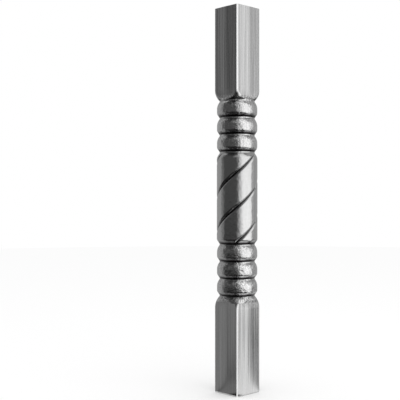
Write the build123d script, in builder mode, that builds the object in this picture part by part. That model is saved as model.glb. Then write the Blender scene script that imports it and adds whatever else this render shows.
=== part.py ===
from build123d import *
import os
from math import acos, cos, degrees, pi, radians, sin, sqrt, tan

# Stainless railing post, formed from one length of tube: square ends, three rolled rings above and below,
# and a round middle pressed into a right-handed twist of three lobes. Millimetres, +Z up the post, the
# origin on the floor under its axis, and the flats of the square ends square to X and Y.

# Tube
post_length = 900.0
tube_width = 76.0
corner_radius = 4.0
wall = 2.0

# Heights: the lower square end, the rolled rings and the twist, with the upper square end as the rest
lower_length = 227.0
ring_count = 3
ring_pitch = 40.0
twist_length = 215.0

# Rolled grooves: a narrow floor, and flanks that round over into the rings below and above
groove_depth = 6.1
groove_floor = 3.0
flank_angle = 35.0
upper_round = 25.0
lower_round = 10.0

# Twist: lobes that stand slightly proud of the rings and roll over into creases, gently along the lobe above
# a crease and tightly along the lobe below it
lobe_count = 3
twist_lead = 240.0
twist_swell = 0.5
crease_depth = 5.6
upper_lip_radius = 19.0
lower_lip_radius = 9.0
crease_round = 1.2
twist_start = 63.0

# Shoulders from square to round: the corners round down into the neck's groove, and within the flat end of it
# the flats swell out to meet it
upper_shoulder_radius = 32.0
lower_shoulder_radius = 38.0
upper_flat_end = 8.0
lower_flat_end = 13.0

# Sections that the lofts pass through: steps along the flats' swell and the rest of the shoulder
flat_steps = 3
shoulder_steps = 3
arc_over_flat = 4.0

# The twist's blank stands proud of the lobes that trim it, and cutters run out past what they cut
blank_allowance = 0.4
overrun = 1.0

# The rings have the girth of the square ends, which were pressed from the same round tube
half_width = tube_width / 2
square_girth = 4 * (tube_width - 2 * corner_radius) + 2 * pi * corner_radius
ring_radius = square_girth / (2 * pi)
groove_radius = ring_radius - groove_depth
twist_radius = ring_radius + twist_swell
blank_radius = twist_radius + blank_allowance
corner_reach = (half_width - corner_radius) * sqrt(2) + corner_radius
neck_swell = groove_radius - half_width

rings_length = ring_count * ring_pitch
lower_neck = lower_length
lower_twist = lower_neck + rings_length
upper_twist = lower_twist + twist_length
upper_neck = upper_twist + rings_length

# The climb of a flank, and how far along it each millimetre of rounding reaches
flank_slope = tan(radians(flank_angle))
round_reach = tan(radians(flank_angle / 2))


def turned_middle(inset):
    """Rings and the blank for the twist, from the middle of one neck's groove to that of the other's."""
    half_floor = groove_floor / 2 + inset * round_reach
    grooves = [lower_neck + ring_pitch * ring for ring in range(ring_count + 1)]
    grooves += [upper_twist + ring_pitch * ring for ring in range(ring_count + 1)]
    outline = [(0, lower_neck), (groove_radius - inset, lower_neck)]
    rounds = [0]
    for below, above in zip(grooves, grooves[1:]):
        crest = blank_radius if below == lower_twist else ring_radius
        run = (crest - groove_radius) / flank_slope
        outline += [
            (groove_radius - inset, below + half_floor),
            (crest - inset, below + half_floor + run),
            (crest - inset, above - half_floor - run),
            (groove_radius - inset, above - half_floor),
        ]
        rounds += [0, lower_round - inset, upper_round - inset, 0]
    outline += [(groove_radius - inset, upper_neck), (0, upper_neck)]
    rounds += [0]
    with BuildPart() as middle:
        with BuildSketch(Plane.XZ):
            with BuildLine():
                FilletPolyline(*outline, radius=rounds)
                Line(outline[-1], outline[0])
            make_face()
        revolve(axis=Axis.Z)
    return middle.part


def lip_turn(radius):
    """Angle round the post from a crease to where the lip beside it has rolled up to the crest."""
    centre = twist_radius - radius
    crease = twist_radius - crease_depth
    return acos((centre**2 + crease**2 - radius**2) / (2 * centre * crease))


def crease_place(inset):
    """Where the skins of the two lips beside a crease meet, for a crease at +X, by the lips' circles."""
    upper_lip = upper_lip_radius - inset
    lower_lip = lower_lip_radius - inset
    upper_turn = degrees(lip_turn(upper_lip_radius))
    lower_turn = degrees(lip_turn(lower_lip_radius))
    upper_centre = Vector(twist_radius - upper_lip_radius, 0).rotate(Axis.Z, -upper_turn)
    lower_centre = Vector(twist_radius - lower_lip_radius, 0).rotate(Axis.Z, lower_turn)
    between = lower_centre - upper_centre
    along = (upper_lip**2 - lower_lip**2 + between.length**2) / (2 * between.length)
    across = sqrt(upper_lip**2 - along**2)
    way = between.normalized()
    return upper_centre + way * along + way.rotate(Axis.Z, -90) * across


def twisted_lobes(inset):
    """The lobes over the length of the twist: arcs of the crest joined by lips that meet in creases."""
    crest = twist_radius - inset
    upper_turn = degrees(lip_turn(upper_lip_radius))
    lower_turn = degrees(lip_turn(lower_lip_radius))
    crease = crease_place(inset)
    lobe_angle = 360 / lobe_count
    with BuildLine() as axis:
        Line((0, 0, lower_twist), (0, 0, upper_twist))
    with BuildLine() as guide:
        Helix(twist_lead, twist_length, twist_radius, center=(0, 0, lower_twist))
    with BuildPart() as lobes:
        with BuildSketch(Plane.XY.offset(lower_twist)) as section:
            with BuildLine():
                for lobe in range(lobe_count):
                    start = twist_start + lobe_angle * lobe
                    end = start + lobe_angle
                    first_crease = crease.rotate(Axis.Z, start)
                    crest_start = Vector(crest, 0).rotate(Axis.Z, start + lower_turn)
                    crest_end = Vector(crest, 0).rotate(Axis.Z, end - upper_turn)
                    next_crease = crease.rotate(Axis.Z, end)
                    RadiusArc(first_crease, crest_start, -(lower_lip_radius - inset))
                    RadiusArc(crest_start, crest_end, -crest)
                    RadiusArc(crest_end, next_crease, -(upper_lip_radius - inset))
            make_face()
            if inset == 0:
                creases = section.vertices().group_by(lambda vertex: Vector(*vertex).length)[0]
                fillet(creases, crease_round)
        sweep(path=axis.line, binormal=guide.line.edge())
    return lobes.part


def rounded_square(face, corner):
    """Section by the distances from the axis to a face and to a corner."""
    RectangleRounded(2 * face, 2 * face, (face * sqrt(2) - corner) / (sqrt(2) - 1))


def split_circle(radius):
    """Circle in eight arcs, to loft to the four flats and the four corners of a rounded square."""
    with BuildLine() as circle:
        for quarter in range(4):
            flat_start = 90 * quarter - arc_over_flat / 2
            CenterArc((0, 0), radius, flat_start, arc_over_flat)
            CenterArc((0, 0), radius, flat_start + arc_over_flat, 90 - arc_over_flat)
    make_face(circle.edges())


def shoulder_stations(radius, flat_end):
    """Out from the round groove to the square tube: how far along, then the face and corner distances."""
    run = sqrt(radius**2 - (radius - corner_reach + groove_radius) ** 2)
    places = [flat_end * step / flat_steps for step in range(1, flat_steps)]
    places += [flat_end + (run - flat_end) * step / shoulder_steps for step in range(shoulder_steps + 1)]
    stations = []
    for place in places:
        face = half_width + neck_swell * max(0, 1 - place / flat_end) ** 2
        corner = corner_reach - radius + sqrt(radius**2 - (run - place) ** 2)
        stations.append((place, face, corner))
    return stations


def lofted(stations, height, way, inset):
    """Shoulder from a neck's groove at this height up the post, or down it where way is -1."""
    with BuildPart() as body:
        with BuildSketch(Plane.XY.offset(height)):
            split_circle(groove_radius - inset)
        for place, face, corner in stations:
            with BuildSketch(Plane.XY.offset(height + way * place)):
                rounded_square(face - inset, corner - inset)
        loft()
    return body.part


def square_end(neck, way, end_height, shoulder_radius, flat_end, inset):
    """Square tube from the middle of a neck's groove to the end of the post."""
    stations = shoulder_stations(shoulder_radius, flat_end)
    floor_edge = neck + way * groove_floor / 2
    tube_start = floor_edge + way * stations[-1][0]
    shoulder = lofted(stations, floor_edge, way, inset)
    with BuildPart() as end:
        with BuildSketch(Plane.XY.offset(neck)):
            Circle(groove_radius - inset)
        extrude(amount=way * groove_floor / 2)
        add(shoulder)
        with BuildSketch(Plane.XY.offset(tube_start)):
            rounded_square(half_width - inset, corner_reach - inset)
        extrude(amount=end_height - tube_start)
    return end.part


def skin(inset, beyond):
    """The post as one solid, set in from its outside and run out past both of its ends."""
    middle = turned_middle(inset)
    lobes = twisted_lobes(inset)
    top = square_end(upper_neck, 1, post_length + beyond, upper_shoulder_radius, upper_flat_end, inset)
    foot = square_end(lower_neck, -1, -beyond, lower_shoulder_radius, lower_flat_end, inset)
    with BuildPart() as waste:
        with BuildSketch(Plane.XY.offset(lower_twist)):
            Circle(blank_radius + overrun)
        extrude(amount=twist_length)
        add(lobes, mode=Mode.SUBTRACT)
    with BuildPart() as whole:
        add(middle)
        add(waste.part, mode=Mode.SUBTRACT)
        add(top)
        add(foot)
    return whole.part


outside = skin(0, 0)
bore = skin(wall, overrun)
with BuildPart() as post:
    add(outside)
    add(bore, mode=Mode.SUBTRACT)
post.part.label = "post"

os.makedirs("parts", exist_ok=True)
export_step(post.part, "parts/post.step")
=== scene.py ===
"""Looks of a stainless railing post: fine meshes of its formed tube, brushed and burnished steel, a plain
studio and the camera. Lengths are in metres, +Z up the post, the origin on the floor under its axis."""

from __future__ import annotations

import logging
import math
from dataclasses import dataclass
from enum import Enum
from typing import Callable, Union

import bpy
import numpy as np
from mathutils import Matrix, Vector

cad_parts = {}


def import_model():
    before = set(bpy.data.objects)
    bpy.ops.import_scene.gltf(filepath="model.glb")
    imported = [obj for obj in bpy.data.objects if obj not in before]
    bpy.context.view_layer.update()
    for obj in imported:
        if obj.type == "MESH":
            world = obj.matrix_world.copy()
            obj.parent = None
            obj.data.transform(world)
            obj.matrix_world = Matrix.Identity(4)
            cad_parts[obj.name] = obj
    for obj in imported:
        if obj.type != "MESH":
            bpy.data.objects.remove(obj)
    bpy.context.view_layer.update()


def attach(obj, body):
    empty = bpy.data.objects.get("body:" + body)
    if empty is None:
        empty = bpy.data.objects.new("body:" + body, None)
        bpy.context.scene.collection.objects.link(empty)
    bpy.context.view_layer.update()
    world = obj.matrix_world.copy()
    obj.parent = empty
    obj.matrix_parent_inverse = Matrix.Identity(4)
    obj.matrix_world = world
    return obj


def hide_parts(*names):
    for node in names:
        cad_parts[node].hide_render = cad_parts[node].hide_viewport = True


LOG = logging.getLogger("railing_post")
NODE = "post"
BODY = "root"

# Decimals kept in a place along or round the post, so that places that meet are found as one
PLACES = 6

Radius = Callable[[np.ndarray, np.ndarray], np.ndarray]


# Forms: how far the skin stands from the axis at a height and an angle


def smooth_least(first: np.ndarray, second: np.ndarray, blend: float) -> np.ndarray:
    """The lesser of two values, rounded over where they cross.

    Args:
        first: one set of values.
        second: the other set.
        blend: the difference at which the rounding starts.

    Returns:
        The rounded lesser value at each place.
    """
    overlap = np.maximum(blend - np.abs(first - second), 0.0) / blend
    return np.minimum(first, second) - overlap**2 * blend / 4


def smooth_most(first: np.ndarray, second: np.ndarray, blend: float) -> np.ndarray:
    """The greater of two values, rounded over where they cross."""
    return -smooth_least(-first, -second, blend)


def rounded_square(angles: np.ndarray, face: np.ndarray, corner: np.ndarray) -> np.ndarray:
    """Distance from the axis to the outline of a square with rounded corners.

    Args:
        angles: directions from the axis, in radians, with the flats square to X and Y.
        face: distance from the axis to a flat.
        corner: distance from the axis to the middle of a corner; equal to face for a circle.

    Returns:
        The distance to the outline in each direction.
    """
    arc = (face * math.sqrt(2) - corner) / (math.sqrt(2) - 1)
    off_flat = np.abs((angles + math.pi / 4) % (math.pi / 2) - math.pi / 4)
    off_corner = math.pi / 4 - off_flat
    centre = (face - arc) * math.sqrt(2)
    bend = centre * np.cos(off_corner) + np.sqrt(np.maximum(arc**2 - (centre * np.sin(off_corner)) ** 2, 0))
    return np.where(np.tan(off_flat) * face <= face - arc, face / np.cos(off_flat), bend)


@dataclass(frozen=True)
class TubeSize:
    """The square tube that the post is formed from."""

    height: float = 0.900
    half_width: float = 0.038
    corner_radius: float = 0.004
    wall: float = 0.002

    @property
    def round_radius(self) -> float:
        """Radius of a round tube with the girth of the square one."""
        girth = 8 * (self.half_width - self.corner_radius) + 2 * math.pi * self.corner_radius
        return girth / (2 * math.pi)

    @property
    def corner_reach(self) -> float:
        """Distance from the axis to the middle of a corner."""
        return (self.half_width - self.corner_radius) * math.sqrt(2) + self.corner_radius


@dataclass(frozen=True)
class GrooveSize:
    """A rolled groove, and how its two flanks round over into what stands beside it."""

    depth: float = 0.0061
    floor: float = 0.003
    flank: float = math.radians(35)
    upper_round: float = 0.025
    lower_round: float = 0.010
    floor_blend: float = 0.0006

    def run(self, rounding: float, rise: float) -> float:
        """Distance along the post from the edge of the floor to the crest."""
        return rise / math.tan(self.flank) + rounding * math.tan(self.flank / 2)

    def climb(
        self, along: np.ndarray, base: float, crest: float, rounding: float, inset: float
    ) -> np.ndarray:
        """Radius of a flank from the middle of the groove's floor up to the crest.

        Args:
            along: distance from the middle of the floor.
            base: radius of the floor, before the inset.
            crest: radius of the crest, before the inset.
            rounding: radius of the rounding under the crest.
            inset: how far the skin is set in, 0 outside and the wall inside.

        Returns:
            The radius at each place.
        """
        past = along - self.floor / 2 - inset * math.tan(self.flank / 2)
        bend = rounding - inset
        run = self.run(bend, crest - base)
        flank = base - inset + past * math.tan(self.flank)
        arc = crest - rounding + np.sqrt(np.maximum(bend**2 - np.maximum(run - past, 0) ** 2, 0))
        rise = np.where(past > run - bend * math.sin(self.flank), arc, flank)
        return smooth_most(rise, np.full_like(rise, base - inset), self.floor_blend)


@dataclass(frozen=True)
class Layout:
    """Where the grooves and the twist stand along the post."""

    tube: TubeSize = TubeSize()
    groove: GrooveSize = GrooveSize()
    lower_neck: float = 0.227
    ring_pitch: float = 0.040
    ring_count: int = 3
    twist_length: float = 0.215

    @property
    def lower_twist(self) -> float:
        """Height of the groove under the twist."""
        return self.lower_neck + self.ring_count * self.ring_pitch

    @property
    def upper_twist(self) -> float:
        """Height of the groove over the twist."""
        return self.lower_twist + self.twist_length

    @property
    def upper_neck(self) -> float:
        """Height of the groove under the upper square end."""
        return self.upper_twist + self.ring_count * self.ring_pitch

    @property
    def groove_radius(self) -> float:
        """Radius of the floor of a groove."""
        return self.tube.round_radius - self.groove.depth


# Meshes


@dataclass(frozen=True)
class Grid:
    """How finely a skin is divided, and how far off its slope is probed."""

    height_probe: float = 0.00002
    angle_probe: float = 0.0004
    columns_per_quarter: int = 48
    corner_columns: int = 9
    corner_column_step: float = math.radians(0.35)
    fine_step: float = 0.0009
    plain_step: float = 0.0024
    floor_offsets: tuple[float, ...] = (0.0, 0.0007, 0.0011, 0.0014, 0.0017, 0.0021, 0.0026)

    def square_angles(self) -> np.ndarray:
        """Directions of the columns round a skin with four corners, closest together at the corners.

        Returns:
            The directions, in radians from +X.
        """
        quarter = np.arange(self.columns_per_quarter) * (math.pi / 2 / self.columns_per_quarter)
        steps = np.arange(1, self.corner_columns + 1) * self.corner_column_step
        corner = np.concatenate([math.pi / 4 - steps, math.pi / 4 + steps])
        angles = np.sort(np.concatenate([quarter, corner]))
        return np.concatenate([angles + turn * math.pi / 2 for turn in range(4)])

    def from_groove(self, reach: float, step: float) -> np.ndarray:
        """Distances from the middle of a groove's floor, closest together at the floor's edge.

        Args:
            reach: the last distance.
            step: about how far apart the rows stand past the floor's edge.

        Returns:
            The distances, which start at 0.
        """
        start = self.floor_offsets[-1]
        rows = round((reach - start) / step) + 1
        return np.concatenate([self.floor_offsets[:-1], np.linspace(start, reach, rows)])


GRID = Grid()


def skin_rows(
    heights: np.ndarray, angles: np.ndarray, radius: Radius, inward: bool
) -> tuple[np.ndarray, np.ndarray]:
    """Points and normals of a skin round the axis.

    Args:
        heights: height of each row.
        angles: direction of each column, or of each column in each row.
        radius: distance from the axis at a height and an angle.
        inward: True where the skin faces the axis.

    Returns:
        Points and unit normals, as rows by columns by three.
    """
    z = heights[:, None] + np.zeros_like(angles)
    a = angles + np.zeros_like(z)
    r = radius(z, a)
    turn, rise = GRID.angle_probe, GRID.height_probe
    by_angle = (radius(z, a + turn) - radius(z, a - turn)) / (2 * turn)
    by_height = (radius(z + rise, a) - radius(z - rise, a)) / (2 * rise)
    out = np.stack([np.cos(a), np.sin(a), np.zeros_like(a)], axis=-1)
    side = np.stack([-np.sin(a), np.cos(a), np.zeros_like(a)], axis=-1)
    up = np.array([0.0, 0.0, 1.0])
    normals = out - side * (by_angle / r)[..., None] - up * by_height[..., None]
    normals /= np.linalg.norm(normals, axis=-1, keepdims=True)
    points = out * r[..., None] + up * z[..., None]
    return points, -normals if inward else normals


def ring_mesh(name: str, points: np.ndarray, normals: np.ndarray) -> bpy.types.Object:
    """A closed mesh from rows of points round the post, out along its outside and back along its inside.

    Args:
        name: name of the piece.
        points: rows by columns by three.
        normals: the unit normal at each point.

    Returns:
        The new object, linked to the scene.
    """
    rows, columns = points.shape[:2]
    row, column = np.meshgrid(np.arange(rows), np.arange(columns), indexing="ij")
    after, beside = (row + 1) % rows, (column + 1) % columns
    here, over = row * columns, after * columns
    quads = np.stack([here + column, here + beside, over + beside, over + column], axis=-1).reshape(-1, 4)
    mesh = bpy.data.meshes.new(name)
    mesh.from_pydata(points.reshape(-1, 3).tolist(), [], quads.tolist())
    mesh.polygons.foreach_set("use_smooth", np.ones(len(quads), dtype=bool))
    mesh.normals_split_custom_set_from_vertices(normals.reshape(-1, 3).tolist())
    made = bpy.data.objects.new(name, mesh)
    bpy.context.scene.collection.objects.link(made)
    return made


def pipe_mesh(
    name: str, heights: np.ndarray, angles: np.ndarray, skin: Callable[[float], Radius], wall: float
) -> bpy.types.Object:
    """A closed mesh of a length of pipe, from its outside and its inside.

    Args:
        name: name of the piece.
        heights: height of each row.
        angles: direction of each column, or of each column in each row.
        skin: the form of a skin set in by a distance.
        wall: how far the inside is set in.

    Returns:
        The new object, linked to the scene.
    """
    angles = angles + np.zeros((len(heights), 1))
    outside = skin_rows(heights, angles, skin(0.0), inward=False)
    inside = skin_rows(heights[::-1], angles[::-1], skin(wall), inward=True)
    points, normals = (np.concatenate(pair) for pair in zip(outside, inside))
    return ring_mesh(name, points, normals)


# Sub-assemblies


class End(Enum):
    """Which end of the post a square end is on: the way out from its neck."""

    LOWER = -1
    UPPER = 1


@dataclass(frozen=True)
class Shoulder:
    """How the corners of a square end round into its neck, and how its flats stand out to meet it.

    radius is that of the corners' rounding. The flats swell out smoothly over the length of swell_run, or,
    where there is a ledge, stay out for its length, step down over step_run and lean in below it.
    """

    radius: float
    swell_run: float = 0.0
    ledge: float = 0.0
    step_run: float = 0.0012
    lean: float = 0.0


@dataclass(frozen=True)
class SquareEnd:
    """The square tube from a neck out to the end of the post, with the shoulders that round into the neck."""

    end: End
    shoulder: Shoulder
    layout: Layout
    flat_crown: float = 0.0006
    rim_bevel: float = 0.0004
    plain_rows: int = 16
    step_rows: int = 9

    @property
    def name(self) -> str:
        """Name of the piece."""
        return f"{self.end.name.lower()}_square_end"

    @property
    def neck(self) -> float:
        """Height of the neck groove."""
        return self.layout.upper_neck if self.end is End.UPPER else self.layout.lower_neck

    @property
    def shoulder_run(self) -> float:
        """Distance from the edge of the neck groove to where the tube is fully square."""
        drop = self.layout.tube.corner_reach - self.layout.groove_radius
        return math.sqrt(self.shoulder.radius**2 - (self.shoulder.radius - drop) ** 2)

    def radius(self, inset: float) -> Radius:
        """The form of the skin.

        Args:
            inset: how far the skin is set in, 0 outside and the wall inside.

        Returns:
            The distance from the axis to the skin, by height and angle.
        """
        tube, half_floor = self.layout.tube, self.layout.groove.floor / 2
        bend = self.shoulder.radius

        def at(z: np.ndarray, a: np.ndarray) -> np.ndarray:
            """Distance from the axis to the skin.

            Args:
                z: heights.
                a: angles.

            Returns:
                The distance at each place.
            """
            past = np.maximum((z - self.neck) * self.end.value - half_floor, 0)
            short = np.maximum(self.shoulder_run - past, 0)
            corner = tube.corner_reach - bend + np.sqrt(bend**2 - short**2)
            face = tube.half_width + self.swell(past)
            crown = self.flat_crown * np.minimum(past / self.shoulder_run, 1) ** 2 * np.cos(2 * a) ** 2
            return rounded_square(a, face - inset, corner - inset) + crown

        return at

    def swell(self, past: np.ndarray) -> np.ndarray:
        """How far the flats stand out from those of the tube, at a distance from the groove's floor.

        Args:
            past: distance past the edge of the neck groove's floor.

        Returns:
            The swell, which meets the groove: smooth, or down to a ledge where the flats were pressed.
        """
        shoulder = self.shoulder
        full = self.layout.groove_radius - self.layout.tube.half_width
        if not shoulder.ledge:
            return full * np.maximum(1 - past / shoulder.swell_run, 0) ** 2
        step = np.clip((past - shoulder.ledge) / shoulder.step_run + 0.5, 0, 1)
        left = np.clip((self.shoulder_run - past) / (self.shoulder_run - shoulder.ledge), 0, 1)
        flank = step * step * (3 - 2 * step)
        return full * (1 - flank) - shoulder.lean * flank * left**2

    def rows(self, length: float) -> np.ndarray:
        """How far each row of the skin stands from the middle of the neck groove.

        Args:
            length: distance from the middle of the neck groove to the cut end.

        Returns:
            The distances, closest together at the groove and at the step under a ledge.
        """
        shoulder, half_floor = self.shoulder, self.layout.groove.floor / 2
        near = GRID.from_groove(half_floor + self.shoulder_run + GRID.plain_step, GRID.fine_step)
        plain = np.linspace(near[-1], length - self.rim_bevel, self.plain_rows)[1:]
        step = half_floor + shoulder.ledge + np.linspace(-1, 1, self.step_rows) * shoulder.step_run
        return np.unique(np.concatenate([near, plain, step if shoulder.ledge else []]).round(PLACES))

    def build(self) -> bpy.types.Object:
        """Meshes the tube's outside, its cut end and its inside as one closed shell.

        Returns:
            The new piece.
        """
        length = self.layout.tube.height - self.neck if self.end is End.UPPER else self.neck
        heights = self.neck + self.end.value * self.rows(length)
        angles = GRID.square_angles()
        outside = skin_rows(heights, angles, self.radius(0.0), inward=False)
        inside = skin_rows(heights[::-1], angles, self.radius(self.layout.tube.wall), inward=True)
        end_height = self.neck + self.end.value * length
        outer, inner = outside[0][-1], inside[0][0]
        rim = [self.toward(outer, inner, end_height), self.toward(inner, outer, end_height)]
        rim_normals = np.zeros((2, len(angles), 3))
        rim_normals[..., 2] = self.end.value
        points = np.concatenate([outside[0], np.stack(rim), inside[0]])
        normals = np.concatenate([outside[1], rim_normals, inside[1]])
        if self.end is End.LOWER:
            points, normals = points[::-1], normals[::-1]
        return ring_mesh(self.name, points, normals)

    def toward(self, start: np.ndarray, end: np.ndarray, height: float) -> np.ndarray:
        """Moves a row of the rim toward the other by the bevel.

        Args:
            start: the row.
            end: the row across the wall from it.
            height: height of the cut end.

        Returns:
            The moved row, at the cut end's height.
        """
        step = end - start
        moved = start + step / np.linalg.norm(step, axis=-1, keepdims=True) * self.rim_bevel
        moved[:, 2] = height
        return moved


@dataclass(frozen=True)
class RingStack:
    """Rolled rings from one groove to another."""

    name: str
    bottom: float
    layout: Layout

    def radius(self, inset: float) -> Radius:
        """The form of the skin.

        Args:
            inset: how far the skin is set in, 0 outside and the wall inside.

        Returns:
            The distance from the axis to the skin, by height and angle.
        """
        groove, base, crest = self.layout.groove, self.layout.groove_radius, self.layout.tube.round_radius
        pitch = self.layout.ring_pitch

        def at(z: np.ndarray, a: np.ndarray) -> np.ndarray:
            """Distance from the axis to the skin.

            Args:
                z: heights.
                a: angles.

            Returns:
                The distance at each place.
            """
            over = (z - self.bottom) % pitch
            from_below = groove.climb(over, base, crest, groove.lower_round, inset)
            from_above = groove.climb(pitch - over, base, crest, groove.upper_round, inset)
            return np.minimum(from_below, from_above)

        return at

    def build(self) -> bpy.types.Object:
        """Meshes the rings' outside and inside as one closed shell.

        Returns:
            The new piece.
        """
        pitch = self.layout.ring_pitch
        side = GRID.from_groove(pitch / 2, GRID.fine_step)
        ring = np.concatenate([side, (pitch - side[::-1])[1:]])
        starts = self.bottom + np.arange(self.layout.ring_count) * pitch
        heights = np.concatenate([start + ring[:-1] for start in starts] + [[starts[-1] + pitch]])
        return pipe_mesh(self.name, heights, GRID.square_angles(), self.radius, self.layout.tube.wall)


@dataclass(frozen=True)
class Twist:
    """The middle: right-handed lobes that roll into creases, gently above each and tightly below it."""

    layout: Layout
    name: str = "twist"
    lobe_count: int = 3
    lead: float = 0.240
    swell: float = 0.0005
    crease_depth: float = 0.0056
    upper_lip: float = 0.011
    lower_lip: float = 0.008
    crease_blend: float = 0.0008
    start: float = math.radians(63)
    blank_allowance: float = 0.0004
    end_blend: float = 0.0010
    end_reach: float = 0.024
    lip_columns: int = 14
    crest_columns: int = 22
    crease_columns: tuple[float, ...] = (0.004, 0.009, 0.015, 0.024)

    @property
    def crest(self) -> float:
        """Radius of the lobes."""
        return self.layout.tube.round_radius + self.swell

    def lip_turn(self, lip: float) -> float:
        """Angle round the post from a crease to the end of a lip of this radius."""
        centre, crease = self.crest - lip, self.crest - self.crease_depth
        return math.acos((centre**2 + crease**2 - lip**2) / (2 * centre * crease))

    def lobe_side(self, past: np.ndarray, lip: float, inset: float) -> np.ndarray:
        """Radius of the lobe on one side of a crease.

        Args:
            past: angle into that lobe from the crease.
            lip: radius of the lip beside the crease.
            inset: how far the skin is set in.

        Returns:
            The radius at each angle, 0 where the lip doesn't reach.
        """
        off = np.maximum(self.lip_turn(lip) - past, 0)
        centre = self.crest - lip
        under = (lip - inset) ** 2 - (centre * np.sin(off)) ** 2
        return np.where(under > 0, centre * np.cos(off) + np.sqrt(np.maximum(under, 0)), 0.0)

    def lobes(self, turned: np.ndarray, inset: float) -> np.ndarray:
        """Radius of the lobes.

        Args:
            turned: angle from a crease.
            inset: how far the skin is set in.

        Returns:
            The radius at each angle.
        """
        lobe = 2 * math.pi / self.lobe_count
        past = (turned + lobe / 2) % lobe - lobe / 2
        below = self.lobe_side(past, self.lower_lip, inset)
        above = self.lobe_side(-past, self.upper_lip, inset)
        return smooth_most(below, above, self.crease_blend)

    def radius(self, inset: float) -> Radius:
        """The form of the skin.

        Args:
            inset: how far the skin is set in, 0 outside and the wall inside.

        Returns:
            The distance from the axis to the skin, by height and angle.
        """
        groove, base = self.layout.groove, self.layout.groove_radius
        low, high = self.layout.lower_twist, self.layout.upper_twist
        blank = self.crest + self.blank_allowance

        def at(z: np.ndarray, a: np.ndarray) -> np.ndarray:
            """Distance from the axis to the skin.

            Args:
                z: heights.
                a: angles.

            Returns:
                The distance at each place.
            """
            lobes = self.lobes(a - self.start - 2 * math.pi * (z - low) / self.lead, inset)
            from_below = groove.climb(z - low, base, blank, groove.lower_round, inset)
            from_above = groove.climb(high - z, base, blank, groove.upper_round, inset)
            ends = np.minimum(from_below, from_above)
            floor = np.full_like(ends, base - inset)
            return np.maximum(smooth_least(lobes, ends, self.end_blend), np.minimum(floor, ends))

        return at

    def angles(self) -> np.ndarray:
        """Directions of the columns at the foot of the twist, closest together at the creases.

        Returns:
            The directions, in radians from +X.
        """
        lobe = 2 * math.pi / self.lobe_count
        below, above = self.lip_turn(self.lower_lip), lobe - self.lip_turn(self.upper_lip)
        near = np.array(self.crease_columns)
        lips = [np.linspace(0, below, self.lip_columns), np.linspace(above, lobe, self.lip_columns)[:-1]]
        crest = np.linspace(below, above, self.crest_columns)[1:-1]
        one = np.unique(np.concatenate([*lips, crest, near, lobe - near]).round(PLACES))
        return np.concatenate([self.start + turn * lobe + one for turn in range(self.lobe_count)])

    def build(self) -> bpy.types.Object:
        """Meshes the twist's outside and inside as one closed shell, in columns that climb with the lobes.

        Returns:
            The new piece.
        """
        low, length, reach = self.layout.lower_twist, self.layout.twist_length, self.end_reach
        side = GRID.from_groove(reach, GRID.fine_step)
        rows = round((length - 2 * reach) / GRID.plain_step) + 1
        middle = np.linspace(reach, length - reach, rows)[1:-1]
        heights = low + np.concatenate([side, middle, length - side[::-1]])
        climbing = self.angles()[None, :] + 2 * math.pi * (heights[:, None] - low) / self.lead
        return pipe_mesh(self.name, heights, climbing, self.radius, self.layout.tube.wall)


# Finishes


# What feeds a node's input: an output of another node, or a plain value
Feed = Union[bpy.types.NodeSocket, float]

# The middle of a noise value
NOISE_MIDDLE = 0.5


class Nodes:
    """Short ways to place nodes in one tree."""

    def __init__(self, tree: bpy.types.NodeTree) -> None:
        """Keeps the tree that nodes are placed in."""
        self.tree = tree

    def add(self, kind: str, **settings: object) -> bpy.types.Node:
        """Places a node and sets its properties.

        Args:
            kind: the node's type.
            **settings: its properties, by name.

        Returns:
            The new node.
        """
        node = self.tree.nodes.new(kind)
        for key, value in settings.items():
            setattr(node, key, value)
        return node

    def link(self, source: bpy.types.NodeSocket, target: bpy.types.NodeSocket) -> None:
        """Joins an output to an input."""
        self.tree.links.new(source, target)

    def feed(self, node: bpy.types.Node, name: str | int, value: Feed) -> None:
        """Sets an input to a number or joins it to an output.

        Args:
            node: the node that is fed.
            name: name or place of its input.
            value: what goes in.
        """
        if isinstance(value, bpy.types.NodeSocket):
            self.link(value, node.inputs[name])
        else:
            node.inputs[name].default_value = value

    def math(self, operation: str, first: Feed, second: Feed = 0.0) -> bpy.types.NodeSocket:
        """A maths node on one or two values.

        Args:
            operation: what it works out.
            first: the first value.
            second: the second value, where the operation has one.

        Returns:
            The result.
        """
        node = self.add("ShaderNodeMath", operation=operation)
        self.feed(node, 0, first)
        self.feed(node, 1, second)
        return node.outputs[0]

    def noise(
        self, vector: bpy.types.NodeSocket, scale: Feed, detail: float, rough: float = 0.5
    ) -> bpy.types.NodeSocket:
        """A noise value, of about a half.

        Args:
            vector: where it is taken.
            scale: how many waves there are to a metre.
            detail: how many finer layers it has.
            rough: how much each finer layer counts.

        Returns:
            The value.
        """
        node = self.add("ShaderNodeTexNoise")
        self.link(vector, node.inputs["Vector"])
        self.feed(node, "Scale", scale)
        self.feed(node, "Detail", detail)
        self.feed(node, "Roughness", rough)
        return node.outputs["Fac"]

    def stretch(
        self, value: Feed, low: Feed, high: Feed, at_low: Feed, at_high: Feed
    ) -> bpy.types.NodeSocket:
        """A value mapped from one range to another and held within it.

        Args:
            value: the value.
            low: start of its own range.
            high: end of its own range.
            at_low: the result at the start.
            at_high: the result at the end.

        Returns:
            The mapped value.
        """
        node = self.add("ShaderNodeMapRange")
        self.feed(node, "Value", value)
        self.feed(node, "From Min", low)
        self.feed(node, "From Max", high)
        self.feed(node, "To Min", at_low)
        self.feed(node, "To Max", at_high)
        return node.outputs["Result"]


def principled(material: bpy.types.Material) -> bpy.types.Node:
    """The Principled shader that a new material comes with."""
    return next(node for node in material.node_tree.nodes if node.type == "BSDF_PRINCIPLED")


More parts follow.
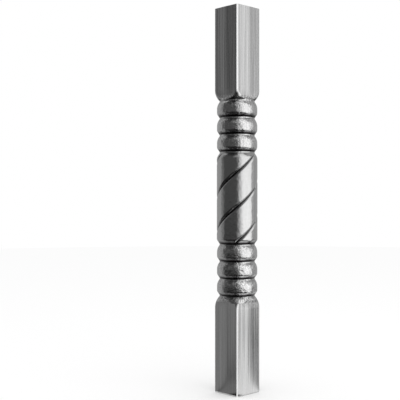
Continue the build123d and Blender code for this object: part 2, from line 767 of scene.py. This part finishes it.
def new_group(
    name: str, inputs: dict[str, float], outputs: tuple[str, ...]
) -> tuple[bpy.types.NodeTree, Nodes]:
    """A shader node group that takes in numbers and puts out values.

    Args:
        name: name of the group.
        inputs: name and default of each number that goes in.
        outputs: name of each value that comes out.

    Returns:
        The group and the node helper for it.
    """
    group = bpy.data.node_groups.new(name, "ShaderNodeTree")
    for label, default in inputs.items():
        socket = group.interface.new_socket(name=label, in_out="INPUT", socket_type="NodeSocketFloat")
        socket.default_value = default
    for label in outputs:
        group.interface.new_socket(name=label, in_out="OUTPUT", socket_type="NodeSocketFloat")
    return group, Nodes(group)


def grain_group() -> bpy.types.NodeTree:
    """Long drawn grain up the tube: broad bands, streaks and fine lines, each about a half.

    Returns:
        The node group, which puts out Bands, Streaks and Lines.
    """
    group, nodes = new_group(
        "drawn_grain",
        {"Band Scale": 90.0, "Streak Scale": 210.0, "Line Scale": 900.0, "Run": 0.02},
        ("Bands", "Streaks", "Lines"),
    )
    source, sink = nodes.add("NodeGroupInput"), nodes.add("NodeGroupOutput")
    place = nodes.add("ShaderNodeTexCoord").outputs["Object"]
    split = nodes.add("ShaderNodeSeparateXYZ")
    nodes.link(place, split.inputs[0])
    joined = nodes.add("ShaderNodeCombineXYZ")
    nodes.link(split.outputs["X"], joined.inputs["X"])
    nodes.link(split.outputs["Y"], joined.inputs["Y"])
    nodes.link(nodes.math("MULTIPLY", split.outputs["Z"], source.outputs["Run"]), joined.inputs["Z"])
    bands = nodes.noise(joined.outputs[0], source.outputs["Band Scale"], detail=2.0)
    lines = nodes.noise(joined.outputs[0], source.outputs["Line Scale"], detail=3.0, rough=0.6)
    streaks = nodes.noise(joined.outputs[0], source.outputs["Streak Scale"], detail=2.0)
    nodes.link(bands, sink.inputs["Bands"])
    nodes.link(streaks, sink.inputs["Streaks"])
    nodes.link(lines, sink.inputs["Lines"])
    return group


def forming_group() -> bpy.types.NodeTree:
    """Marks of the rolls: soft dents and finer scuffs, each about a half.

    Returns:
        The node group, which puts out Dents and Scuffs.
    """
    group, nodes = new_group(
        "forming_marks", {"Dent Scale": 120.0, "Scuff Scale": 260.0}, ("Dents", "Scuffs")
    )
    source, sink = nodes.add("NodeGroupInput"), nodes.add("NodeGroupOutput")
    place = nodes.add("ShaderNodeTexCoord").outputs["Object"]
    dents = nodes.noise(place, source.outputs["Dent Scale"], detail=2.0)
    scuffs = nodes.noise(place, source.outputs["Scuff Scale"], detail=4.0, rough=0.65)
    nodes.link(dents, sink.inputs["Dents"])
    nodes.link(scuffs, sink.inputs["Scuffs"])
    return group


def corner_highlight_group(tube: TubeSize) -> bpy.types.NodeTree:
    """Where the four corners of the square tube are, which get a painted highlight brighter than its flats.

    Args:
        tube: the square tube.

    Returns:
        The node group, which puts out Mask.
    """
    edges = {"From": tube.half_width - 0.0030, "To": tube.half_width - 0.0019}
    group, nodes = new_group("corner_highlight_mask", edges, ("Mask",))
    source, sink = nodes.add("NodeGroupInput"), nodes.add("NodeGroupOutput")
    split = nodes.add("ShaderNodeSeparateXYZ")
    nodes.link(nodes.add("ShaderNodeTexCoord").outputs["Object"], split.inputs[0])
    across = [nodes.math("ABSOLUTE", split.outputs[axis]) for axis in ("X", "Y")]
    nearest = nodes.math("MINIMUM", *across)
    mask = nodes.stretch(nearest, source.outputs["From"], source.outputs["To"], 0.0, 1.0)
    nodes.link(mask, sink.inputs["Mask"])
    return group


def recess_group(layout: Layout) -> bpy.types.NodeTree:
    """Where the post was rolled and twisted, how near a place is to a groove or crease, and its shade there.

    Middle is the height halfway between the necks, and Reach, Neck and Shoulder go up and down from it, to
    where the worked surface, the shade of flanks that face up and that of overhung ones end. Floor is the
    distance from the axis with full shade, and the drops go in from Crest to where shade and speckle start.
    Overhung and Upright are the upward parts of the normals of flanks with full shade and with none, and
    Upward Share is the shade of those that face up.

    Args:
        layout: where the grooves are.

    Returns:
        The node group, which puts out Worked, Edge and Recess.
    """
    middle = (layout.lower_neck + layout.upper_neck) / 2
    half_span = middle - layout.lower_neck
    sizes = {
        "Middle": middle,
        "Reach": half_span + 0.0130,
        "Neck": half_span + 0.0065,
        "Shoulder": half_span + 0.0165,
        "Fade": 0.004,
        "Floor": layout.groove_radius + 0.0020,
        "Crest": layout.tube.round_radius,
        "Shade Drop": 0.0008,
        "Speckle Drop": 0.0003,
        "Overhung": -0.3,
        "Upright": -0.05,
        "Upward Share": 0.2,
    }
    group, nodes = new_group("recesses", sizes, ("Worked", "Edge", "Recess"))
    source, sink = nodes.add("NodeGroupInput"), nodes.add("NodeGroupOutput")
    place = nodes.add("ShaderNodeTexCoord")
    split, facing = nodes.add("ShaderNodeSeparateXYZ"), nodes.add("ShaderNodeSeparateXYZ")
    nodes.link(place.outputs["Object"], split.inputs[0])
    nodes.link(place.outputs["Normal"], facing.inputs[0])
    squares = [nodes.math("MULTIPLY", split.outputs[axis], split.outputs[axis]) for axis in ("X", "Y")]
    reach = nodes.math("SQRT", nodes.math("ADD", *squares))
    off = nodes.math("ABSOLUTE", nodes.math("SUBTRACT", split.outputs["Z"], source.outputs["Middle"]))
    within = {}
    for label in ("Reach", "Neck", "Shoulder"):
        edge = source.outputs[label]
        fade_start = nodes.math("SUBTRACT", edge, source.outputs["Fade"])
        within[label] = nodes.stretch(off, fade_start, edge, 1.0, 0.0)
    shade_start = nodes.math("SUBTRACT", source.outputs["Crest"], source.outputs["Shade Drop"])
    speckle_start = nodes.math("SUBTRACT", source.outputs["Crest"], source.outputs["Speckle Drop"])
    deep = nodes.stretch(reach, source.outputs["Floor"], shade_start, 1.0, 0.0)
    near = nodes.stretch(reach, shade_start, speckle_start, 1.0, 0.0)
    steepest, upright = source.outputs["Overhung"], source.outputs["Upright"]
    under = nodes.stretch(facing.outputs["Z"], steepest, upright, 1.0, 0.0)
    under = nodes.math("MULTIPLY", under, within["Shoulder"])
    upward = nodes.math("MULTIPLY", source.outputs["Upward Share"], within["Neck"])
    shaded = nodes.math("MAXIMUM", under, upward)
    nodes.link(within["Reach"], sink.inputs["Worked"])
    nodes.link(nodes.math("MULTIPLY", near, within["Reach"]), sink.inputs["Edge"])
    # Recess is a painted shade: dark at the floors of grooves and creases, fullest on flanks that are
    # overhung and a share on those that face up
    nodes.link(nodes.math("MULTIPLY", deep, shaded), sink.inputs["Recess"])
    return group


@dataclass(frozen=True)
class SteelFinish:
    """A finish of the stainless steel.

    tone is the metal's own grey, tone_swing how far the mottle takes it either way, and roughness the least
    and the greatest. On the corners of the square tube corner_highlight_tone is added to the grey as a
    painted highlight, corner_roughness is added to the roughness, and corner_highlight_diffuse is taken off
    the metallic look, so that the room's light paints them brighter. streak_tone is the swing of the drawn
    streaks, and speckle_tone that of the speckle beside the grooves. shade_drop is how far under the rings'
    crest a groove or a crease starts to shade, and painted_shade the share of the tone lost at its bottom, a
    painted shade. The heights are the relief, in metres, of the grain's bands and lines and of the dents and
    scuffs that the rolls left. The ranges are the parts of the noise that the mottle and the speckle spread
    out.
    """

    name: str
    tone: float = 0.58
    tone_swing: float = 0.05
    roughness: tuple[float, float] = (0.24, 0.34)
    corner_highlight_tone: float = 0.0
    corner_roughness: float = 0.0
    corner_highlight_diffuse: float = 0.0
    streak_tone: float = 0.0
    speckle_tone: float = 0.0
    shade_drop: float = 0.0008
    band_height: float = 0.0
    line_height: float = 0.0
    dent_height: float = 0.0
    scuff_height: float = 0.0
    painted_shade: float = 0.5
    mottle_range: tuple[float, float] = (0.7, 1.3)
    speckle_range: tuple[float, float] = (0.38, 0.62)

    def material(
        self,
        grain: bpy.types.NodeTree,
        forming: bpy.types.NodeTree,
        corners: bpy.types.NodeTree,
        recesses: bpy.types.NodeTree,
    ) -> bpy.types.Material:
        """Builds the material.

        Args:
            grain: the drawn grain group.
            forming: the forming marks group.
            corners: the group that marks the corners' painted highlight.
            recesses: the group of grooves and creases.

        Returns:
            The new material.
        """
        made = bpy.data.materials.new(self.name)
        made.use_nodes = True
        nodes = Nodes(made.node_tree)
        shader = principled(made)
        drawn = nodes.add("ShaderNodeGroup", node_tree=grain)
        marks = nodes.add("ShaderNodeGroup", node_tree=forming)
        place = nodes.add("ShaderNodeGroup", node_tree=recesses)
        place.inputs["Shade Drop"].default_value = self.shade_drop
        # Painted highlight: the corners of the square ends get a lighter grey and a less metallic look, which
        # the room's light turns bright, and more roughness
        corner_highlight = nodes.add("ShaderNodeGroup", node_tree=corners).outputs["Mask"]
        corner_highlight = nodes.math("MULTIPLY", corner_highlight, nodes.math("SUBTRACT", 1.0, place.outputs["Worked"]))
        mottle = nodes.math("ADD", drawn.outputs["Lines"], marks.outputs["Scuffs"])
        nodes.link(self.colour(nodes, drawn, marks, place, corner_highlight, mottle), shader.inputs["Base Color"])
        roughness = nodes.stretch(mottle, *self.mottle_range, *self.roughness)
        roughness = nodes.math("ADD", roughness, nodes.math("MULTIPLY", corner_highlight, self.corner_roughness))
        nodes.link(roughness, shader.inputs["Roughness"])
        metallic = nodes.math("SUBTRACT", 1.0, nodes.math("MULTIPLY", corner_highlight, self.corner_highlight_diffuse))
        nodes.link(metallic, shader.inputs["Metallic"])
        bump = nodes.add("ShaderNodeBump")
        bump.inputs["Strength"].default_value = 1.0
        bump.inputs["Distance"].default_value = 1.0
        nodes.link(self.relief(nodes, drawn, marks, place), bump.inputs["Height"])
        nodes.link(bump.outputs[0], shader.inputs["Normal"])
        return made

    def colour(
        self,
        nodes: Nodes,
        drawn: bpy.types.Node,
        marks: bpy.types.Node,
        place: bpy.types.Node,
        corner_highlight: bpy.types.NodeSocket,
        mottle: bpy.types.NodeSocket,
    ) -> bpy.types.NodeSocket:
        """Works out the grey of the metal.

        Args:
            nodes: the node helper for the material.
            drawn: the drawn grain.
            marks: the forming marks.
            place: the grooves and creases.
            corner_highlight: where the corners get their painted highlight.
            mottle: the fine grain of the surface.

        Returns:
            The colour.
        """
        darkest, lightest = self.tone - self.tone_swing, self.tone + self.tone_swing
        tone = nodes.stretch(mottle, *self.mottle_range, darkest, lightest)
        streaks = nodes.math("SUBTRACT", drawn.outputs["Streaks"], NOISE_MIDDLE)
        tone = nodes.math("ADD", tone, nodes.math("MULTIPLY", streaks, self.streak_tone))
        speckle = nodes.stretch(
            marks.outputs["Scuffs"], *self.speckle_range, -self.speckle_tone, self.speckle_tone
        )
        tone = nodes.math("ADD", tone, nodes.math("MULTIPLY", speckle, place.outputs["Edge"]))
        # The corners' painted highlight lifts the grey
        tone = nodes.math("ADD", tone, nodes.math("MULTIPLY", corner_highlight, self.corner_highlight_tone))
        # Painted shade: the tone is darkened in grooves and creases and under overhung flanks, by the Recess
        # mask
        kept = nodes.math("SUBTRACT", 1.0, nodes.math("MULTIPLY", place.outputs["Recess"], self.painted_shade))
        tone = nodes.math("MULTIPLY", tone, kept)
        colour = nodes.add("ShaderNodeCombineColor")
        for channel in ("Red", "Green", "Blue"):
            nodes.link(tone, colour.inputs[channel])
        return colour.outputs[0]

    def relief(
        self, nodes: Nodes, drawn: bpy.types.Node, marks: bpy.types.Node, place: bpy.types.Node
    ) -> bpy.types.NodeSocket:
        """Adds up the relief of the surface.

        Args:
            nodes: the node helper for the material.
            drawn: the drawn grain.
            marks: the forming marks.
            place: the grooves and creases.

        Returns:
            The height, in metres.
        """
        height = nodes.math("MULTIPLY", drawn.outputs["Bands"], self.band_height)
        height = nodes.math("ADD", height, nodes.math("MULTIPLY", drawn.outputs["Lines"], self.line_height))
        height = nodes.math("ADD", height, nodes.math("MULTIPLY", marks.outputs["Dents"], self.dent_height))
        scuffs = nodes.math("MULTIPLY", marks.outputs["Scuffs"], place.outputs["Worked"])
        return nodes.math("ADD", height, nodes.math("MULTIPLY", scuffs, self.scuff_height))


@dataclass(frozen=True)
class Finishes:
    """The post's finishes."""

    drawn: SteelFinish = SteelFinish(
        "drawn_steel", roughness=(0.18, 0.26), corner_highlight_tone=0.4, corner_roughness=0.3, corner_highlight_diffuse=0.9,
        streak_tone=0.25, speckle_tone=0.25, band_height=0.0005, line_height=0.00001, scuff_height=0.0010,
        painted_shade=0.9,
    )
    rolled: SteelFinish = SteelFinish(
        "rolled_steel", tone=0.64, tone_swing=0.14, roughness=(0.14, 0.24), speckle_tone=0.14,
        dent_height=0.0012, scuff_height=0.00045, painted_shade=0.97,
    )
    twisted: SteelFinish = SteelFinish(
        "twisted_steel", roughness=(0.14, 0.22), dent_height=0.0005, scuff_height=0.00008,
        painted_shade=0.97, shade_drop=0.0003,
    )


# Studio


BLACK = (0.0, 0.0, 0.0, 1.0)
WHITE = (1.0, 1.0, 1.0, 1.0)


@dataclass(frozen=True)
class Panel:
    """A soft-edged patch of light on the tent, as seen from the middle of the post.

    bearings go round from the camera's side of the post, the picture's right positive, and climbs go up from
    the level, both in degrees. The fades are the widths, in degrees, of its soft edges.
    """

    name: str
    bearings: tuple[float, float]
    climbs: tuple[float, float]
    level: float
    side_fade: float = 8.0
    climb_fade: float = 12.0

    def light(self, bearing: float, climb: float) -> float:
        """The panel's level in a direction."""
        side = self.within(bearing, self.bearings, self.side_fade)
        return self.level * side * self.within(climb, self.climbs, self.climb_fade)

    @staticmethod
    def within(angle: float, limits: tuple[float, float], fade: float) -> float:
        """Share left at an angle: 1 well within the limits, a half on them and 0 past their fades."""
        inside = min(angle - limits[0], limits[1] - angle)
        return min(max(inside / fade + 0.5, 0.0), 1.0)


@dataclass(frozen=True)
class Tent:
    """A tent of light panels round the post, which only the metal shows.

    profile gives the distance and height of its rings of points, out along the floor, up the wall and in over
    the top. The panels are named by where they stand, as seen from the camera's side, and the room and the
    floor are the dark ground that the others stand out from.
    """

    segments: int = 144
    middle: float = 0.45
    profile: tuple[tuple[float, float], ...] = (
        (0.02, 0.003), (0.14, 0.003), (0.40, 0.003), (0.70, 0.003), (1.10, 0.003), (1.50, 0.003),
        (2.40, 0.003), (2.40, 0.30), (2.40, 0.60), (2.40, 0.95), (2.40, 1.30), (2.35, 1.80),
        (2.20, 2.20), (1.20, 2.60), (0.60, 2.66), (0.01, 2.70),
    )
    panels: tuple[Panel, ...] = (
        Panel("room", (-200, 200), (-9, 60), 0.09),
        Panel("floor", (-200, 200), (-100, -9), 0.02),
        Panel("left_back", (-200, -97), (-100, 100), 0.42),
        Panel("left_back_top", (-200, -97), (48, 100), 0.6),
        Panel("left_edge", (-98, -80), (-100, 7), 0.29, side_fade=12.0),
        Panel("left_wall_edge", (-100, -90), (0, 40), 0.22),
        Panel("left_floor", (-78, -30), (-100, -62), 0.22),
        Panel("front_top", (-22, 12), (30, 60), 0.38),
        Panel("right_front_top", (12, 72), (30, 78), 1.15),
        Panel("right_wall", (31, 90), (-6, 40), 1.3),
        Panel("right_middle", (28, 88), (-12, 8), 1.5),
        Panel("right_wall_edge", (13, 70), (-12, 50), 1.2, side_fade=30.0),
        Panel("right_low", (33, 91), (-22, -6), 1.55),
        Panel("right_near_floor", (16, 88), (-100, -58), 1.1),
        Panel("right_floor", (72, 89), (-60, -20), 1.2),
        Panel("right_edge", (88, 97), (-5, 100), 0.52, side_fade=4.0),
        Panel("right_back_edge", (97, 108), (-12, 35), 0.68),
        Panel("right_back", (108, 200), (-20, 100), 0.45),
        Panel("right_back_floor", (108, 200), (-100, -22), 0.65),
        Panel("right_back_top", (97, 200), (48, 100), 0.95),
    )

    def level(self, bearing: float, climb: float) -> float:
        """Level in a direction: that of its strongest panel."""
        return max(panel.light(bearing, climb) for panel in self.panels)

    def build(self, camera_bearing: float) -> bpy.types.Object:
        """Meshes the tent, with its level kept at each point, and hides it from camera, diffuse and shadow
        rays.

        Args:
            camera_bearing: direction of the camera from the post, in degrees from -Y toward +X.

        Returns:
            The tent.
        """
        bearings = np.linspace(-180, 180, self.segments, endpoint=False)
        turns = np.radians(camera_bearing + bearings)
        points, levels = [], []
        for distance, height in self.profile:
            climb = math.degrees(math.atan2(height - self.middle, distance))
            points += [(math.sin(turn) * distance, -math.cos(turn) * distance, height) for turn in turns]
            levels += [self.level(bearing, climb) for bearing in bearings]
        mesh = bpy.data.meshes.new("light_tent")
        mesh.from_pydata(points, [], self.quads())
        mesh.attributes.new("level", "FLOAT", "POINT").data.foreach_set("value", levels)
        mesh.materials.append(self.light())
        made = bpy.data.objects.new("light_tent", mesh)
        bpy.context.scene.collection.objects.link(made)
        made.visible_camera = made.visible_diffuse = made.visible_shadow = False
        return made

    def quads(self) -> list[tuple[int, int, int, int]]:
        """Joins the rings of points.

        Returns:
            The places of each quad's four points.
        """
        quads = []
        for row in range(len(self.profile) - 1):
            here, over = row * self.segments, (row + 1) * self.segments
            for column in range(self.segments):
                beside = (column + 1) % self.segments
                quads.append((here + column, here + beside, over + beside, over + column))
        return quads

    def light(self) -> bpy.types.Material:
        """Makes the material that glows by the level at each point.

        Returns:
            The new material.
        """
        made = bpy.data.materials.new("tent_light")
        made.use_nodes = True
        nodes = Nodes(made.node_tree)
        shader = principled(made)
        shader.inputs["Base Color"].default_value = BLACK
        shader.inputs["Specular IOR Level"].default_value = 0.0
        shader.inputs["Emission Color"].default_value = WHITE
        level = nodes.add("ShaderNodeAttribute", attribute_name="level")
        nodes.link(level.outputs["Fac"], shader.inputs["Emission Strength"])
        return made


@dataclass(frozen=True)
class Softbox:
    """An area light that looks at the middle of the post."""

    name: str
    bearing: float
    distance: float
    height: float
    size: float
    level: float

    def build(self, camera_bearing: float, target: Vector) -> bpy.types.Object:
        """Makes the light.

        Args:
            camera_bearing: direction of the camera from the post, in degrees from -Y toward +X.
            target: where it looks.

        Returns:
            The light.
        """
        turn = math.radians(camera_bearing + self.bearing)
        at = Vector((math.sin(turn) * self.distance, -math.cos(turn) * self.distance, self.height))
        lamp = bpy.data.lights.new(self.name, "AREA")
        lamp.shape = "DISK"
        lamp.size = self.size
        lamp.energy = self.level * (at - target).length ** 2 * math.pi
        made = bpy.data.objects.new(self.name, lamp)
        bpy.context.scene.collection.objects.link(made)
        made.location = at
        made.rotation_mode = "QUATERNION"
        made.rotation_quaternion = (target - at).to_track_quat("-Z", "Y")
        made.visible_glossy = False
        return made


@dataclass(frozen=True)
class Studio:
    """A white room with a plain pale floor, a soft light, the tent that the metal shows, and the camera.

    focal_share is the focal length, and axis_share how far the post's axis is right of the middle, as shares
    of the picture's width. floor_lift is the glow that takes the floor up to white round the post's shadow.
    """

    camera_bearing: float = 45.0
    camera_distance: float = 1.893
    camera_height: float = 0.451
    camera_clip: tuple[float, float] = (0.05, 50.0)
    focal_share: float = 2.01375
    axis_share: float = 0.092875
    floor_radius: float = 6.0
    floor_sides: int = 96
    floor_tone: float = 0.80
    floor_roughness: float = 0.9
    floor_lift: float = 0.17
    target: tuple[float, float, float] = (0.0, 0.0, 0.45)
    tent: Tent = Tent()
    softbox: Softbox = Softbox(
        "overhead_softbox", bearing=40.0, distance=1.2, height=2.4, size=1.6, level=0.4
    )

    def build(self) -> None:
        """Sets up the room, the floor, the tent, the light and the camera."""
        self.world()
        self.floor()
        self.tent.build(self.camera_bearing)
        self.softbox.build(self.camera_bearing, Vector(self.target))
        self.camera()

    def world(self) -> None:
        """A white room, which lights all but the metal."""
        world = bpy.data.worlds.new("room")
        bpy.context.scene.world = world
        world.use_nodes = True
        backdrop = next(node for node in world.node_tree.nodes if node.type == "BACKGROUND")
        backdrop.inputs["Color"].default_value = WHITE
        backdrop.inputs["Strength"].default_value = 1.0

    def floor(self) -> None:
        """A pale round floor that keeps the post's shadow."""
        reach, sides = self.floor_radius, self.floor_sides
        turns = [2 * math.pi * step / sides for step in range(sides)]
        rim = [(reach * math.cos(turn), reach * math.sin(turn), 0.0) for turn in turns]
        mesh = bpy.data.meshes.new("floor")
        mesh.from_pydata(rim, [], [tuple(range(sides))])
        made = bpy.data.objects.new("floor", mesh)
        bpy.context.scene.collection.objects.link(made)
        paint = bpy.data.materials.new("floor_paint")
        paint.use_nodes = True
        nodes = Nodes(paint.node_tree)
        shader = principled(paint)
        shader.inputs["Base Color"].default_value = (self.floor_tone, self.floor_tone, self.floor_tone, 1.0)
        shader.inputs["Roughness"].default_value = self.floor_roughness
        shader.inputs["Specular IOR Level"].default_value = 0.0
        shader.inputs["Emission Color"].default_value = WHITE
        path = nodes.add("ShaderNodeLightPath")
        seen = nodes.math("MAXIMUM", path.outputs["Is Camera Ray"], path.outputs["Is Glossy Ray"])
        nodes.link(nodes.math("MULTIPLY", seen, self.floor_lift), shader.inputs["Emission Strength"])
        mesh.materials.append(paint)

    def camera(self) -> None:
        """The camera, level, with the post a little right of the picture's middle."""
        lens = bpy.data.cameras.new("camera")
        lens.lens = lens.sensor_width * self.focal_share
        lens.shift_x = -self.axis_share
        lens.clip_start, lens.clip_end = self.camera_clip
        made = bpy.data.objects.new("camera", lens)
        bpy.context.scene.collection.objects.link(made)
        turn = math.radians(self.camera_bearing)
        made.location = (
            math.sin(turn) * self.camera_distance,
            -math.cos(turn) * self.camera_distance,
            self.camera_height,
        )
        made.rotation_euler = (math.pi / 2, 0.0, turn)
        bpy.context.scene.camera = made


# The post


@dataclass(frozen=True)
class Post:
    """The whole post, as pieces that meet in the grooves."""

    layout: Layout = Layout()
    finishes: Finishes = Finishes()
    upper_shoulder: Shoulder = Shoulder(radius=0.032, swell_run=0.008)
    lower_shoulder: Shoulder = Shoulder(radius=0.038, ledge=0.0125, lean=0.0010)

    def build(self) -> list[bpy.types.Object]:
        """Builds and dresses each piece.

        Returns:
            The pieces, from the foot up.
        """
        groups = grain_group(), forming_group(), corner_highlight_group(self.layout.tube), recess_group(self.layout)
        drawn = self.finishes.drawn.material(*groups)
        rolled = self.finishes.rolled.material(*groups)
        twisted = self.finishes.twisted.material(*groups)
        layout = self.layout
        makers = (
            (SquareEnd(End.LOWER, self.lower_shoulder, layout), drawn),
            (RingStack("lower_rings", layout.lower_neck, layout), rolled),
            (Twist(layout), twisted),
            (RingStack("upper_rings", layout.upper_twist, layout), rolled),
            (SquareEnd(End.UPPER, self.upper_shoulder, layout), drawn),
        )
        pieces = []
        for maker, material in makers:
            piece = maker.build()
            piece.data.materials.append(material)
            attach(piece, BODY)
            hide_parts(NODE)
            pieces.append(piece)
        return pieces


def main() -> None:
    """Builds the post and its studio around the CAD frame."""
    logging.basicConfig(level=logging.INFO, format="%(message)s")
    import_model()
    bpy.context.scene.view_settings.view_transform = "Standard"
    for piece in Post().build():
        LOG.info("%s: %d faces", piece.name, len(piece.data.polygons))
    Studio().build()


if __name__ == "__main__":
    main()
